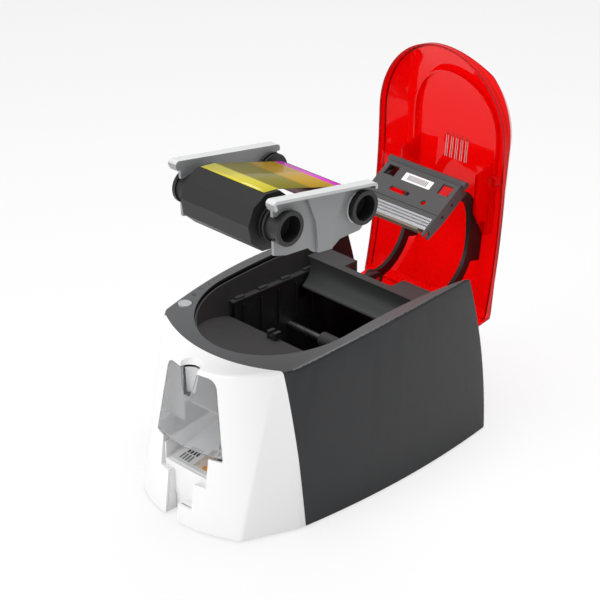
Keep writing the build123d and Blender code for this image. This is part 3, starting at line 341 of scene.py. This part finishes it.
def half_cone(name, low, high, wall, finish, body, spread):
    """The rear of the scoop's cone, with a wall; high gives its top at a depth, mm."""
    build = bmesh.new()
    turns = [radians(90 - spread + 2 * spread * i / SCOOP_STEPS) for i in range(SCOOP_STEPS + 1)]
    shells = []
    for extra, upper in ((0, False), (0, True), (wall, True), (wall, False)):
        shell = []
        for a in turns:
            z = high(SCOOP_Y + SCOOP_HEAD_R * sin(a)) if upper else low
            share = (z - SCOOP_FOOT_Z) / (SCOOP_HEAD_Z - SCOOP_FOOT_Z)
            radius = SCOOP_FOOT_R + (SCOOP_HEAD_R - SCOOP_FOOT_R) * share + SCOOP_SEAM + extra
            spot = (radius * cos(a), SCOOP_Y + radius * sin(a), z)
            shell.append(build.verts.new([v * MM for v in spot]))
        shells.append(shell)
    for ring, following in zip(shells, shells[1:] + shells[:1]):
        for i in range(SCOOP_STEPS):
            build.faces.new((ring[i], ring[i + 1], following[i + 1], following[i]))
    for end in (0, -1):
        build.faces.new([ring[end] for ring in shells])
    bmesh.ops.recalc_face_normals(build, faces=build.faces)
    mesh = bpy.data.meshes.new(name)
    build.to_mesh(mesh)
    build.free()
    return finished(name, mesh, finish, body, edge=0)


SCOOP_WALL, SCOOP_SPREAD = 1.0, 82
half_cone("scoop_pocket", SCOOP_LOW_Z,
          lambda y: SHOULDER_Z + SHOULDER_SLOPE * (y - SHOULDER_Y) - SHOULDER_SINK, SCOOP_WALL,
          casing_white, "printer", SCOOP_SPREAD)

# ------------------------------------------------------------------ bay
# Inside the opening are a dark liner with ledges and a sloping shelf, two upright frames, and
# the cradle for the take-up spool. Two rubber rollers on steel shafts turn in the frames.
liner_dark = plastic("liner_dark", (0.034, 0.035, 0.036), 0.5, depth=0.06)
black_plastic = plastic("black_plastic", (0.011, 0.011, 0.012), 0.45, depth=0.08)
for node in ("bay_liner", "rear_cradle"):
    rounded_copy(node, liner_dark)
for node in ("frame_left", "frame_right", "ribbon_sensor", "power_socket"):
    rounded_copy(node, black_plastic)
dress("hinge_pins", plastic("pin_steel", (0.55, 0.55, 0.57), 0.3, Metallic=1.0))
shaft_steel = plastic("shaft_steel", (0.58, 0.58, 0.6), 0.28, grain=0.2 * MM, Metallic=1.0)
roller_rubber = plastic("roller_rubber", (0.035, 0.035, 0.037), 0.7, grain=0.5 * MM, depth=0.15)
for name in ("platen", "feed"):
    rounded_copy(name + "_shaft", shaft_steel, edge=0.1 * MM)
    rounded_copy(name + "_roller", roller_rubber)


def tree_inputs(tree, rows):
    """Names a tree's inputs and gives it a geometry output."""
    for label, kind in rows:
        tree.interface.new_socket(label, in_out="INPUT", socket_type="NodeSocket" + kind)
    tree.interface.new_socket("Geometry", in_out="OUTPUT", socket_type="NodeSocketGeometry")


def close_tree(tree, given, instances):
    """Ends a tree with real geometry and its material."""
    real = tree.nodes.new("GeometryNodeRealizeInstances")
    clad = tree.nodes.new("GeometryNodeSetMaterial")
    out = tree.nodes.new("NodeGroupOutput")
    tree.links.new(instances, real.inputs[0])
    tree.links.new(real.outputs[0], clad.inputs["Geometry"])
    tree.links.new(given.outputs["Finish"], clad.inputs["Material"])
    tree.links.new(clad.outputs[0], out.inputs[0])


block_row = bpy.data.node_groups.new("row_of_blocks", "GeometryNodeTree")
tree_inputs(block_row, (("Count", "Int"), ("Start", "Vector"), ("Step", "Vector"),
                        ("Size", "Vector"), ("Finish", "Material")))
row_given = block_row.nodes.new("NodeGroupInput")
row_line = block_row.nodes.new("GeometryNodeMeshLine")
row_cube = block_row.nodes.new("GeometryNodeMeshCube")
row_set = block_row.nodes.new("GeometryNodeInstanceOnPoints")
for label, socket in (("Count", row_line.inputs["Count"]),
                      ("Start", row_line.inputs["Start Location"]),
                      ("Step", row_line.inputs["Offset"]), ("Size", row_cube.inputs["Size"])):
    block_row.links.new(row_given.outputs[label], socket)
block_row.links.new(row_line.outputs[0], row_set.inputs["Points"])
block_row.links.new(row_cube.outputs["Mesh"], row_set.inputs["Instance"])
close_tree(block_row, row_given, row_set.outputs[0])


def grown(tree, name, body, slot_name, place=Matrix(), edge=EASE, **inputs):
    """One run of a tree, made a plain mesh and fixed to a body. Sizes are in mm."""
    maker = bpy.data.objects.new(name + "_maker", bpy.data.meshes.new(name + "_maker"))
    bpy.context.scene.collection.objects.link(maker)
    grow = maker.modifiers.new("grown", "NODES")
    grow.node_group = tree
    for item in tree.interface.items_tree:
        if item.in_out == "INPUT":
            value = inputs[item.name]
            if isinstance(value, tuple):
                value = tuple(v * MM for v in value)
            elif isinstance(value, float):
                value = value * MM
            grow[item.identifier] = value
    seen_by = bpy.context.evaluated_depsgraph_get()
    mesh = bpy.data.meshes.new_from_object(maker.evaluated_get(seen_by))
    bpy.data.objects.remove(maker)
    mesh.name = name
    return finished(name, mesh, None, body, place, edge)


RIB_X, RIB_STEP, RIB_SIZE = 82.6, (0.0, 26.0, 0.0), (1.9, 1.6, 40.0)
LUG_X, LUG_STEP, LUG_SIZE = 85.2, (0.0, 34.0, 0.0), (4.6, 12.0, 2.6)
for side, label in ((-1, "left"), (1, "right")):
    grown(block_row, "frame_ribs_" + label, "printer", "black_plastic", Count=5,
          Start=(side * RIB_X, -18.0, 140.0), Step=RIB_STEP, Size=RIB_SIZE, Finish=black_plastic)
    grown(block_row, "ledge_lugs_" + label, "printer", "liner_dark", Count=4,
          Start=(side * LUG_X, -22.0, 169.2), Step=LUG_STEP, Size=LUG_SIZE, Finish=liner_dark)
light_plastic = plastic("light_plastic", (0.58, 0.59, 0.60), 0.4)
rounded_copy("usb_socket", light_plastic, edge=EASE)

# ------------------------------------------------------------------ hopper, output and card
# The light grey hopper holds blank cards behind the window. Printed cards slide down the white
# chute, and the window's cover is clear smoked plastic on two pins, with a frosted scoop.
rounded_copy("card_hopper", light_plastic)
rounded_copy("output_chute", casing_white)
card_gloss = plastic("card_gloss", (0.82, 0.82, 0.82), 0.15, Coat_Weight=0.6, Coat_Roughness=0.05)
rounded_copy("printed_card", card_gloss, edge=0.15 * MM)
CHUTE_SLOPE = 28 / 106
CARD_FRONT_Y, CARD_FRONT_Z, CARD_FACE = -173, 57.3 + 3 * CHUTE_SLOPE, 0.81
card_tilt = Vector((0, 1, CHUTE_SLOPE)).normalized()
card_up = Vector((0, -CHUTE_SLOPE, 1)).normalized()
ON_CARD = Matrix(((1, 0, 0, 0), (0, card_tilt.y, card_up.y, CARD_FRONT_Y * MM),
                  (0, card_tilt.z, card_up.z, CARD_FRONT_Z * MM), (0, 0, 0, 1)))
BAR_STEP, FRONT_BAR, REAR_BAR = (4.2, 0.0, 0.0), (2.4, 9.0, 0.06), (2.6, 11.0, 0.06)
print_black = plastic("print_black", (0.02, 0.02, 0.022), 0.35)
print_grey = plastic("print_grey", (0.20, 0.20, 0.21), 0.35)
for name, start, ink, size in (
        ("card_bars_front", (-19.0, 9.0, CARD_FACE), print_grey, FRONT_BAR),
        ("card_bars_rear", (-17.4, 20.5, CARD_FACE), print_black, REAR_BAR)):
    grown(block_row, name, "card", "card_white", ON_CARD, 0, Count=4, Start=start, Step=BAR_STEP,
          Size=size, Finish=ink)
PATCH_SIZE = 7 * MM
card_picture = plastic("card_picture", (0.5, 0.3, 0.15), 0.25)
picture_nodes, picture_links = card_picture.node_tree.nodes, card_picture.node_tree.links
patches = picture_nodes.new("ShaderNodeTexVoronoi")
patches.inputs["Scale"].default_value = 1 / PATCH_SIZE
picture_links.new(picture_nodes.new("ShaderNodeTexCoord").outputs["Object"],
                  patches.inputs["Vector"])
tones = picture_nodes.new("ShaderNodeValToRGB")
tones.color_ramp.interpolation = "CONSTANT"
for share, tone in ((0.15, (0.80, 0.36, 0.07, 1)), (0.3, (0.62, 0.50, 0.44, 1)),
                    (0.5, (0.03, 0.03, 0.035, 1)), (0.65, (0.72, 0.62, 0.55, 1))):
    tones.color_ramp.elements.new(share).color = tone
picture_links.new(patches.outputs["Color"], tones.inputs["Fac"])
picture_links.new(tones.outputs["Color"], picture_nodes["Principled BSDF"].inputs["Base Color"])
cut_plate("card_picture_patch", block((2, 5), (24, 34)), CARD_FACE - 0.02, CARD_FACE + 0.03,
          card_picture, "card", ON_CARD, 0)
CLEAR_IOR = 1.3


def tinted(name, colour, roughness, share, **sockets):
    """Clear plastic dyed in the mass: light passes and takes the colour."""
    finish = plastic(name, colour, roughness, depth=0.004, mottle=0.02, **sockets)
    shader = finish.node_tree.nodes["Principled BSDF"]
    shader.inputs["Transmission Weight"].default_value = share
    shader.inputs["IOR"].default_value = CLEAR_IOR
    return finish


smoke_clear = tinted("smoke_clear", (0.74, 0.75, 0.76), 0.14, 0.78)
rounded_copy("hopper_cover", smoke_clear, edge=0.5 * MM)
smoke_frost = plastic("smoke_frost", (0.60, 0.61, 0.62), 0.35)
FROST_TOP_Z, FROST_SKIN, FROST_SPREAD = 166.9, -0.12, 68
half_cone("scoop_frost", SCOOP_FOOT_Z + 0.3, lambda y: FROST_TOP_Z, FROST_SKIN, smoke_frost,
          "cover", FROST_SPREAD)

# ------------------------------------------------------------------ lid
# The arched lid is moulded in clear red plastic, with vents and a tail that turns down behind
# the hinge. Two black arms carry it and the print head. Dark beads along its rim and shoulder are
# painted shade, and pale strips by the vents are painted highlights. Beads and rows on it are laid
# out for the closed lid, and SWUNG opens them.
lid_red = tinted("lid_red", (1.0, 0.0015, 0.0015), 0.05, 0.72)
rounded_copy("lid_shell", lid_red, edge=0.4 * MM)
HINGE_Y, HINGE_Z, LID_OPEN = 139, 153, 96
at_hinge = Matrix.Translation((0, HINGE_Y * MM, HINGE_Z * MM))
SWUNG = at_hinge @ Matrix.Rotation(radians(-LID_OPEN), 4, "X") @ at_hinge.inverted()


def deck_height(y):
    """Height of the crowned deck along the casing, mm."""
    t = y / 100
    return 197.8 + 6.5 * t - 4.6 * t**2 - 0.6 * t**3


swept = bpy.data.node_groups.new("swept_line", "GeometryNodeTree")
tree_inputs(swept, (("Line", "Object"), ("Radius", "Float"), ("Finish", "Material")))
swept_given = swept.nodes.new("NodeGroupInput")
line_info = swept.nodes.new("GeometryNodeObjectInfo")
round_bar = swept.nodes.new("GeometryNodeCurvePrimitiveCircle")
round_bar.inputs["Resolution"].default_value = 10
sweep = swept.nodes.new("GeometryNodeCurveToMesh")
sweep.inputs["Fill Caps"].default_value = True
swept.links.new(swept_given.outputs["Line"], line_info.inputs["Object"])
swept.links.new(swept_given.outputs["Radius"], round_bar.inputs["Radius"])
swept.links.new(line_info.outputs["Geometry"], sweep.inputs["Curve"])
swept.links.new(round_bar.outputs["Curve"], sweep.inputs["Profile Curve"])
close_tree(swept, swept_given, sweep.outputs[0])


def bead(name, points, radius, finish, body, slot_name, place=Matrix()):
    """A round bead along a line through points in mm."""
    path = bpy.data.curves.new(name + "_line", "CURVE")
    path.dimensions = "3D"
    run = path.splines.new("POLY")
    run.points.add(len(points) - 1)
    for spot, point in zip(run.points, points):
        spot.co = (*[v * MM for v in point], 1)
    line = bpy.data.objects.new(name + "_line", path)
    bpy.context.scene.collection.objects.link(line)
    made = grown(swept, name, body, slot_name, place, 0, Line=line, Radius=float(radius),
                 Finish=finish)
    bpy.data.objects.remove(line)
    bpy.data.curves.remove(path)
    return made


# Painted shade: thin dark red beads along the rim and shoulder stand in for the dark lines where
# the clear lid's walls are seen edge on.
lid_edge_painted_shade = tinted("lid_dark_edge", (0.22, 0.0, 0.0), 0.1, 0.3)
ARCH_HALF, ARCH_NOSE, ARCH_Y, LID_REAR_Y = 91, 94, -38, 148
RIM_STEP, NOSE_STEPS, RIM_WIRE = 12, 48, 0.75


def rim_line(inset, lift):
    """The lid's rim from one rear corner round the nose to the other, mm."""
    half, nose = ARCH_HALF - inset, ARCH_NOSE - inset
    line = [(half, y) for y in range(LID_REAR_Y, ARCH_Y, -RIM_STEP)]
    line += [(half * cos(a), ARCH_Y + nose * sin(a))
             for a in (-pi * i / NOSE_STEPS for i in range(NOSE_STEPS + 1))]
    line += [(-half, y) for y in range(ARCH_Y + RIM_STEP // 2, LID_REAR_Y + 1, RIM_STEP)]
    return [(x, y, deck_height(y) + lift) for x, y in line]


for name, inset, lift in (("lid_rim_bead", 1.9, -2.4), ("lid_shoulder_bead", 3.6, 4.4)):
    bead(name, rim_line(inset, lift), RIM_WIRE, lid_edge_painted_shade, "lid", "lid_red", SWUNG)
# Painted highlight: pale strips either side of each vent stand in for the light caught along the
# slots' edges.
vent_painted_highlight = plastic("lid_vent_lip", (0.80, 0.62, 0.62), 0.3)
LID_CEILING = 25.2
VENT_LEFT_X, VENT_Y, VENT_HALF, VENT_HIGHLIGHT_SIZE = -14.0, -12.0, 1.3, (0.55, 28.0, 0.9)
for side, label in ((-1, "left"), (1, "right")):
    grown(block_row, "vent_lips_" + label, "lid", "lid_red", SWUNG, 0.1 * MM, Count=5,
          Start=(VENT_LEFT_X + side * VENT_HALF, VENT_Y, deck_height(VENT_Y) + LID_CEILING - 0.2),
          Step=(7.0, 0.0, 0.0), Size=VENT_HIGHLIGHT_SIZE, Finish=vent_painted_highlight)

ring_stack = bpy.data.node_groups.new("stack_of_rings", "GeometryNodeTree")
tree_inputs(ring_stack, (("Count", "Int"), ("Start", "Vector"), ("Step", "Vector"),
                         ("Radius", "Float"), ("Wire", "Float"), ("Finish", "Material")))
ring_given = ring_stack.nodes.new("NodeGroupInput")
ring_line = ring_stack.nodes.new("GeometryNodeMeshLine")
ring_path = ring_stack.nodes.new("GeometryNodeCurvePrimitiveCircle")
ring_bar = ring_stack.nodes.new("GeometryNodeCurvePrimitiveCircle")
ring_bar.inputs["Resolution"].default_value = 10
ring_sweep = ring_stack.nodes.new("GeometryNodeCurveToMesh")
ring_set = ring_stack.nodes.new("GeometryNodeInstanceOnPoints")
for label, socket in (("Count", ring_line.inputs["Count"]),
                      ("Start", ring_line.inputs["Start Location"]),
                      ("Step", ring_line.inputs["Offset"]),
                      ("Radius", ring_path.inputs["Radius"]), ("Wire", ring_bar.inputs["Radius"])):
    ring_stack.links.new(ring_given.outputs[label], socket)
ring_stack.links.new(ring_path.outputs[0], ring_sweep.inputs["Curve"])
ring_stack.links.new(ring_bar.outputs[0], ring_sweep.inputs["Profile Curve"])
ring_stack.links.new(ring_line.outputs[0], ring_set.inputs["Points"])
ring_stack.links.new(ring_sweep.outputs[0], ring_set.inputs["Instance"])
close_tree(ring_stack, ring_given, ring_set.outputs[0])
BOSS_X, BOSS_Y, BOSS_DROP, BOSS_R, BOSS_WIRE = 63.0, 8.0, 12.6, 6.0, 0.8
for side, label in ((-1, "left"), (1, "right")):
    grown(ring_stack, "lid_boss_" + label, "lid", "lid_red", SWUNG, 0, Count=6,
          Start=(side * BOSS_X, BOSS_Y, deck_height(BOSS_Y) + BOSS_DROP), Step=(0.0, 0.0, 1.7),
          Radius=BOSS_R, Wire=BOSS_WIRE, Finish=lid_red)
for side in ("left", "right"):
    rounded_copy("lid_arm_" + side, black_plastic)

# ------------------------------------------------------------------ print head
# A dark plastic carrier hangs in the arms, with an aluminium heat sink and the ceramic print
# line along its tip. Its plate carries a white label with plain bars.
head_dark = plastic("head_dark", (0.058, 0.059, 0.061), 0.45, depth=0.06)
rounded_copy("head_carrier", head_dark)
heatsink_aluminium = plastic("heatsink_aluminium", (0.75, 0.76, 0.78), 0.35, Metallic=1.0)
rounded_copy("head_heatsink", heatsink_aluminium, edge=0.15 * MM)
rounded_copy("thermal_head", plastic("head_ceramic", (0.20, 0.16, 0.13), 0.2), edge=0.1 * MM)
HEAD_TOP_Y, HEAD_TOP_Z, HEAD_RUN_Y, HEAD_RUN_Z = 7.0, 174.0, 43.0, -52.6
head_span = hypot(HEAD_RUN_Y, HEAD_RUN_Z)
along, down = HEAD_RUN_Y / head_span, HEAD_RUN_Z / head_span
ON_HEAD = SWUNG @ Matrix(((1, 0, 0, 0), (0, -along, down, HEAD_TOP_Y * MM),
                          (0, -down, -along, HEAD_TOP_Z * MM), (0, 0, 0, 1)))
label_white = plastic("label_white", (0.88, 0.88, 0.87), 0.5, depth=0.01, mottle=0.01)
LABEL, LABEL_FOOT, LABEL_FACE = block((-20, -19.5), (20, -9)), -0.02, 0.12
cut_plate("head_label", LABEL, LABEL_FOOT, LABEL_FACE, label_white, "lid", ON_HEAD, 0)
grown(block_row, "head_label_bars", "lid", "head_dark", ON_HEAD, 0, Count=12,
      Start=(-13.2, -14.2, LABEL_FACE), Step=(2.4, 0.0, 0.0), Size=(1.3, 6.8, 0.06),
      Finish=print_black)
grown(block_row, "head_plate_steps", "lid", "head_dark", ON_HEAD, 0.15 * MM, Count=2,
      Start=(0.0, -1.2, 0.3), Step=(0.0, -42.6, 0.0), Size=(100.0, 1.2, 0.9), Finish=head_dark)

# ------------------------------------------------------------------ power button
# A light grey dome slides in the deck's left rim. Three raised lamp marks run on from it: a
# ring, an arc and a hook.
rounded_copy("power_button", plastic("button_grey", (0.36, 0.37, 0.38), 0.3), edge=0)
icon_grey = plastic("icon_grey", (0.02, 0.02, 0.021), 0.4)
MARK_R, MARK_WIRE, MARK_RISE, MARK_STEPS = 1.9, 0.35, 0.05, 24
for name, across, back, turns in (("lamp_ring", -91.5, -80, 24), ("lamp_arc", -94, -68, 15),
                                  ("lamp_hook", -96, -57, 9)):
    steps = [2 * pi * i / MARK_STEPS for i in range(turns + 1)]
    bead(name, [(across + MARK_R * cos(a), back + MARK_R * sin(a), deck_height(back) + MARK_RISE)
                for a in steps], MARK_WIRE, icon_grey, "printer", "casing_dark")

# ------------------------------------------------------------------ ribbon cassette
# Two grey side plates carry a faceted barrel and two spools. The top and outer side of each
# plate's upper bar and thin beads along its saddles are a painted highlight in pale grey. The
# plates hold the hubs in round saddles, and the whole cassette is lifted out in one piece.
plate_grey = plastic("plate_grey", (0.29, 0.295, 0.30), 0.42, depth=0.05)
LIFTED_PLACE, LIFTED_TILT = (84.8, -131.1, 372.1), radians(-5.5)
HUNG = (Matrix.Translation([v * MM for v in LIFTED_PLACE])
        @ Matrix.Rotation(LIFTED_TILT, 4, "X"))
HUB_U, SADDLE_X, SADDLE_R, SADDLE_WIRE, SADDLE_STEPS = 49.0, 64.1, 16.6, 0.8, 20
UPPER_BAR, OUTER_BAR = 19 * MM, 70 * MM
# Painted highlight: a pale grey for the upper bar's top and outer side and for the saddle rims,
# where the plates' plastic catches the light; plate_grey is kept darker for the shaded sides.
rim_white = plastic("rim_white", (0.57, 0.58, 0.58), 0.35)


def on_upper_bar(face):
    """Whether a plate's face is on top of its upper bar, or on the bar's outer side."""
    spot = HUNG.inverted() @ face.center
    outer = abs(face.normal.x) > 0.9 and abs(spot.x) > OUTER_BAR
    return spot.z > UPPER_BAR and (face.normal.z > 0.3 or outer)


for side, label in ((-1, "left"), (1, "right")):
    plate = rounded_copy("cassette_plate_" + label, plate_grey)
    second_finish(plate, rim_white, on_upper_bar)
    for hub, facing in (("front", 1), ("rear", -1)):
        turns = [radians(-62 + 124 * i / SADDLE_STEPS) for i in range(SADDLE_STEPS + 1)]
        bead(f"saddle_rim_{hub}_{label}",
             [(side * SADDLE_X, facing * (SADDLE_R * cos(a) - HUB_U), SADDLE_R * sin(a))
              for a in turns], SADDLE_WIRE, rim_white, "cassette", "plate_grey", HUNG)
barrel_grey = plastic("barrel_grey", (0.022, 0.022, 0.023), 0.45, depth=0.06,
                      Specular_IOR_Level=0.25)
barrel = rounded_copy("supply_barrel", barrel_grey)
second_finish(barrel, black_plastic, lambda face: abs(face.normal.x) > 0.9)
for name in ("supply", "takeup"):
    rounded_copy(name + "_spool", black_plastic)
    dress(name + "_roll", plastic(name + "_roll", (0.10, 0.015, 0.02), 0.3))

# ------------------------------------------------------------------ ribbon
# Thin film coloured along its length, drawn from the barrel's top over to the take-up roll. It
# is taut between the rolls, so it is one smooth strip of even thickness.
FILM_HALF, FILM_THICK = 42.5, 0.3
ribbon_tones = plastic("ribbon", (0.73, 0.62, 0.05), 0.2, depth=0.004)
FILM_STEPS, FILM_LENGTH, FILM_FALL = 24, 89, 14.9
film_run = [(-57.5, 28.1), (-52.0, 28.15), (-46.0, 28.15), (-40.6, 28.1)]
film_run += [(-40 + FILM_LENGTH * i / FILM_STEPS, 28.0 - FILM_FALL * i / FILM_STEPS)
             for i in range(FILM_STEPS + 1)]
build = bmesh.new()
tone_layer = build.verts.layers.float.new("dye_place")
strips = []
for u, v in film_run:
    strip = [build.verts.new((x * MM, u * MM, v * MM)) for x in (-FILM_HALF, 0, FILM_HALF)]
    for spot in strip:
        spot[tone_layer] = u / (2 * HUB_U) + 0.5    # 0 over the front hub, 1 over the rear one
    strips.append(strip)
for before, after in zip(strips, strips[1:]):
    for i in range(2):
        build.faces.new((before[i], before[i + 1], after[i + 1], after[i]))
ribbon_mesh = bpy.data.meshes.new("ribbon_sheet")
build.to_mesh(ribbon_mesh)
build.free()
film = finished("ribbon_sheet", ribbon_mesh, ribbon_tones, "cassette", HUNG, 0)
gauge = film.modifiers.new("gauge", "SOLIDIFY")
gauge.thickness = FILM_THICK * MM
gauge.offset = 0
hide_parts("ribbon_film")
# Along the film: yellow over the barrel, a darker olive stretch, orange, and magenta over the
# take-up roll.
YELLOW, MAGENTA = (0.53, 0.46, 0.035, 1), (0.62, 0.02, 0.55, 1)
PANELS = ((0.0, YELLOW), (0.095, YELLOW), (0.12, (0.19, 0.165, 0.012, 1)),
          (0.50, (0.20, 0.17, 0.012, 1)), (0.56, (0.43, 0.25, 0.012, 1)),
          (0.90, (0.45, 0.26, 0.012, 1)), (0.905, MAGENTA), (1.0, MAGENTA))
film_nodes, film_links = ribbon_tones.node_tree.nodes, ribbon_tones.node_tree.links
film_place = film_nodes.new("ShaderNodeAttribute")
film_place.attribute_name = "dye_place"
panels = film_nodes.new("ShaderNodeValToRGB")
for share, colour in PANELS[1:-1]:
    panels.color_ramp.elements.new(share).color = colour
panels.color_ramp.elements[0].color = PANELS[0][1]
panels.color_ramp.elements[-1].color = PANELS[-1][1]
film_links.new(film_place.outputs["Fac"], panels.inputs["Fac"])
film_links.new(panels.outputs["Color"], film_nodes["Principled BSDF"].inputs["Base Color"])
